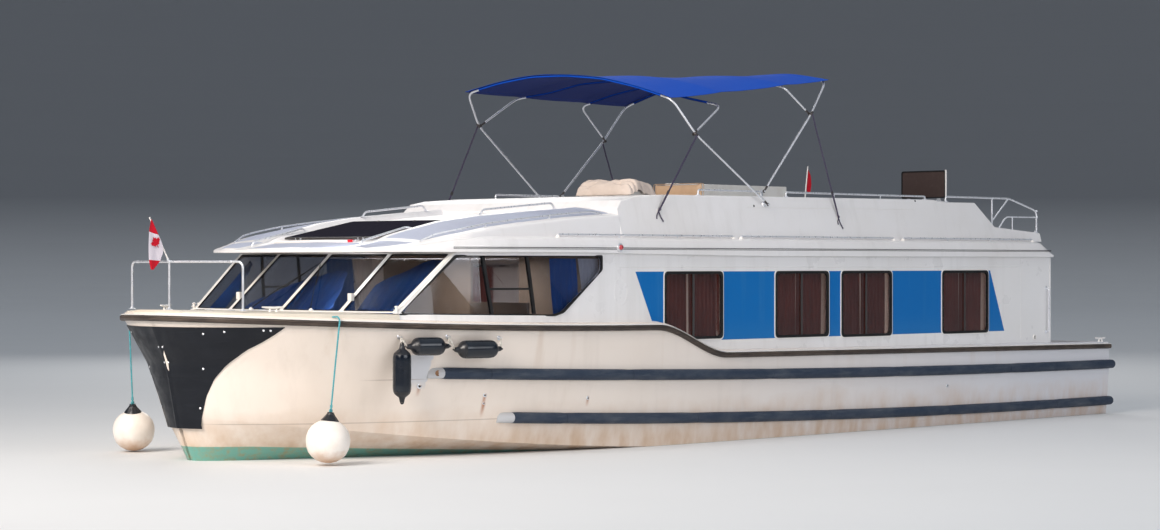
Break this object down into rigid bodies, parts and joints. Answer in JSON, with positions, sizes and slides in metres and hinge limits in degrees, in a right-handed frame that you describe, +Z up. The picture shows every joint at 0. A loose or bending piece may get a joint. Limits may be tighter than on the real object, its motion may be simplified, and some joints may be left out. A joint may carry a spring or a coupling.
{
  "type": "houseboat",
  "caption": "Canal cruiser houseboat afloat: hull, glazed saloon, cabins, flybridge with folding bimini, rails, fenders, rudder and propeller.",
  "frame": {"origin": "on the waterline, on the centreline, at half the length of the hull", "axes": "+X to the bow, +Y to port, +Z up"},
  "size_m": [14.7, 4.27, 5.2675],
  "materials": {
    "black_rubber": "weathered dark rubber",
    "blue_canvas": "royal blue acrylic canvas",
    "bronze": "dull bronze",
    "cabinet_wood": "light varnished wood",
    "console_plastic": "moulded glassfibre",
    "cream_canvas": "cream canvas, creased",
    "curtain_brown": "dark red-brown woven curtain",
    "dark_paint": "dark antifouling paint",
    "dark_webbing": "dark woven webbing",
    "deck_gelcoat": "non-slip gelcoat",
    "engine_paint": "engine enamel",
    "fender_black": "black inflatable vinyl",
    "fender_vinyl": "cream inflatable vinyl with a dark neck",
    "flag_cloth": "red and white polyester bunting",
    "hatch_glass": "nearly black tinted acrylic",
    "navy_rubber": "scuffed navy rubber sheet",
    "roof_gelcoat": "cream-white gelcoat, semi-gloss",
    "seat_vinyl": "cream marine vinyl",
    "smoked_acrylic": "smoked acrylic",
    "stainless": "polished stainless tube",
    "tan_vinyl": "tan marine vinyl",
    "tinted_glass": "tinted safety glass",
    "white_gelcoat": "aged cream-white gelcoat, semi-gloss, faintly stained near the waterline"
  },
  "bodies": {
    "boat": {"hull": "white_gelcoat", "rub_rail": "black_rubber", "stem_guard": "navy_rubber", "strake_upper_port": "black_rubber", "strake_upper_starboard": "black_rubber", "strake_lower_port": "black_rubber", "strake_lower_starboard": "black_rubber", "foredeck": "deck_gelcoat", "cabin_side_port": "white_gelcoat", "cabin_side_starboard": "white_gelcoat", "saloon_window_port": "tinted_glass", "saloon_window_starboard": "tinted_glass", "cabin_window_port_1": "tinted_glass", "cabin_window_port_2": "tinted_glass", "cabin_window_port_3": "tinted_glass", "cabin_window_port_4": "tinted_glass", "cabin_window_starboard_1": "tinted_glass", "cabin_window_starboard_2": "tinted_glass", "cabin_window_starboard_3": "tinted_glass", "cabin_window_starboard_4": "tinted_glass", "cabin_curtains_port": "curtain_brown", "cabin_curtains_starboard": "curtain_brown", "aft_bulkhead": "white_gelcoat", "windscreen_frame": "white_gelcoat", "windscreen_glass": "tinted_glass", "roof": "roof_gelcoat", "flybridge_coaming": "roof_gelcoat", "skylight_box": "roof_gelcoat", "helm_console": "console_plastic", "console_cover": "cream_canvas", "helm_seat": "tan_vinyl", "bench_port": "seat_vinyl", "bench_starboard": "seat_vinyl", "strap_front_port": "dark_webbing", "strap_front_starboard": "dark_webbing", "strap_aft_port": "dark_webbing", "strap_aft_starboard": "dark_webbing", "pulpit": "stainless", "bow_flag": "flag_cloth", "stern_flag": "flag_cloth", "aft_rail_port": "stainless", "aft_rail_starboard": "stainless", "cockpit_sole": "deck_gelcoat", "cockpit_steps": "deck_gelcoat", "engine": "engine_paint", "galley_unit": "cabinet_wood", "side_fenders": "fender_black", "ball_fender_port": "fender_vinyl", "ball_fender_starboard": "fender_vinyl"},
    "propeller": {"propeller": "bronze"},
    "rudder": {"rudder": "dark_paint"},
    "helm_wheel": {"helm_wheel": "stainless"},
    "aft_door": {"aft_door": "white_gelcoat"},
    "skylight_lid": {"skylight_lid": "smoked_acrylic"},
    "roof_hatch": {"roof_hatch": "hatch_glass"},
    "bimini_front": {"bimini_bow_front": "stainless"},
    "bimini_second": {"bimini_bow_second": "stainless"},
    "bimini_aft": {"bimini_bow_aft": "stainless", "bimini_canopy": "blue_canvas"},
    "bimini_third": {"bimini_bow_third": "stainless"}
  },
  "joints": [
    {"name": "rudder_turn", "type": "hinge", "parent": "boat", "child": "rudder", "pos_m": [-6.25, 0, -0.4], "axis": [0, 0, 1], "range_deg": [-35, 35]},
    {"name": "helm_wheel_turn", "type": "hinge", "parent": "boat", "child": "helm_wheel", "pos_m": [0.5, 0.445, 2.7], "axis": [1, 0, 0], "range_deg": [-525, 525]},
    {"name": "propeller_spin", "type": "hinge", "parent": "boat", "child": "propeller", "pos_m": [-5.76, 0, -0.56], "axis": [1, 0, 0], "continuous": true},
    {"name": "aft_door_swing", "type": "hinge", "parent": "boat", "child": "aft_door", "pos_m": [-5.413, 0.306, 1.25], "axis": [0, 0, -1], "range_deg": [0, 100]},
    {"name": "skylight_lid_tilt", "type": "hinge", "parent": "boat", "child": "skylight_lid", "pos_m": [-5.285, 0.43, 2.896], "axis": [0, 1, 0], "range_deg": [0, 90]},
    {"name": "roof_hatch_tilt", "type": "hinge", "parent": "boat", "child": "roof_hatch", "pos_m": [4.894, 0, 2.3212], "axis": [0, 1, 0], "range_deg": [0, 45]},
    {"name": "bimini_fold", "type": "hinge", "parent": "boat", "child": "bimini_front", "pos_m": [-0.361, 0, 2.745], "axis": [0, -1, 0], "range_deg": [0, 118], "deforming": ["strap_front_port", "strap_front_starboard"]},
    {"name": "bimini_second_fold", "type": "hinge", "parent": "bimini_front", "child": "bimini_second", "pos_m": [0.909, 0, 3.646], "axis": [0, 0.998, -0.0631], "range_deg": [0, 84]},
    {"name": "bimini_aft_fold", "type": "hinge", "parent": "boat", "child": "bimini_aft", "pos_m": [-0.44, 0, 2.905], "axis": [0, -1, 0], "range_deg": [0, 36], "deforming": ["bimini_canopy", "strap_aft_port", "strap_aft_starboard"]},
    {"name": "bimini_third_fold", "type": "hinge", "parent": "bimini_aft", "child": "bimini_third", "pos_m": [-1.275, 0, 3.746], "axis": [0, -0.9978, -0.0661], "range_deg": [0, 62]}
  ],
  "couplings": [
    {"joint": "helm_wheel_turn", "follows": "rudder_turn", "ratio": 15},
    {"joint": "bimini_second_fold", "follows": "bimini_fold", "ratio": 0.71186},
    {"joint": "bimini_aft_fold", "follows": "bimini_fold", "ratio": 0.30508},
    {"joint": "bimini_third_fold", "follows": "bimini_fold", "ratio": 0.52542}
  ]
}
